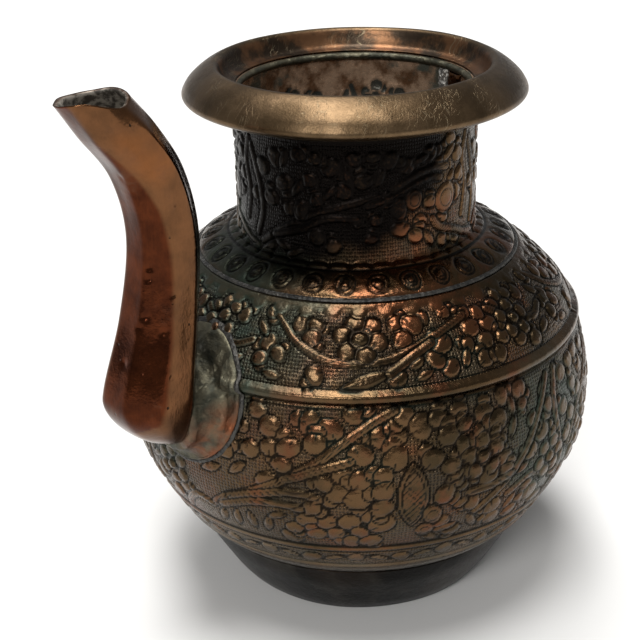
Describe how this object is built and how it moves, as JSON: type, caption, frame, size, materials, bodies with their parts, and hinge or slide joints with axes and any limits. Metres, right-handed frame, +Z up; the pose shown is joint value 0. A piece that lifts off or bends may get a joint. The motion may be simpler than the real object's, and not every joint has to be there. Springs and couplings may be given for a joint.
{
  "type": "spouted water jug",
  "caption": "Squat bellied metal water jug on a foot ring, with an open neck, a heavy flared rim and an upright side spout for pouring.",
  "frame": {"origin": "centre of the footprint box, on the surface that the jug stands on", "axes": "+Z up; the spout reaches out along -X; Y runs across the jug, which is the same on both sides of the XZ plane but for the strap in its neck"},
  "size_m": [0.1984, 0.164, 0.1955],
  "materials": {
    "dark_copper": "copper darkened by age, with grey-green patina in its hollows and worn high points",
    "red_copper": "smooth handled copper, warm red-brown and glossy",
    "bronze": "olive-brown cast brass, satin with fine scratches",
    "green_copper": "dull grey-green copper with hammer and file marks",
    "solder": "grey granular solder"
  },
  "bodies": {
    "root": {"foot_ring": "dark_copper", "foot_solder": "solder", "lower_bowl": "dark_copper", "upper_body": "dark_copper", "neck_collar": "dark_copper", "neck_solder": "green_copper", "rim_ring": "bronze", "rim_solder": "solder", "seam_strap": "red_copper", "seam_solder": "solder", "spout_tube": "red_copper", "spout_saddle": "green_copper", "saddle_solder": "solder"}
  },
  "joints": []
}
